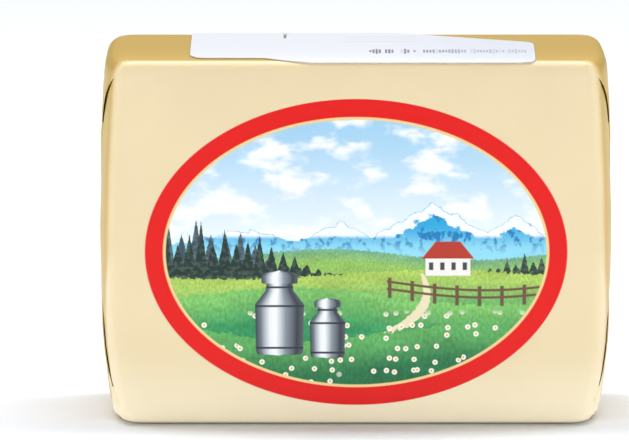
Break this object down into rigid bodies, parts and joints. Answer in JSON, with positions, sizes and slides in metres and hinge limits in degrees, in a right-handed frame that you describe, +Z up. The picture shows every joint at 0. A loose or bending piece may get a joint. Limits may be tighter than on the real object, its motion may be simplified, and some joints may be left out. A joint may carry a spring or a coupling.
{
  "type": "wrapped butter block",
  "caption": "Retail block of butter in printed foil paper, folded like a tray, standing on a long narrow side with a paper label on its top side",
  "frame": {"origin": "middle of the long narrow side that the block rests on", "axes": "+X along the block's length, to the right seen from the printed front; +Y from the printed front to the back; +Z up"},
  "size_m": [0.101, 0.037, 0.0734],
  "materials": {
    "wrapper": "satin foil paper, cream print over pale gold",
    "label": "smooth white paper"
  },
  "bodies": {
    "root": {"wrapped_block": "wrapper", "side_label": "label"}
  },
  "joints": []
}
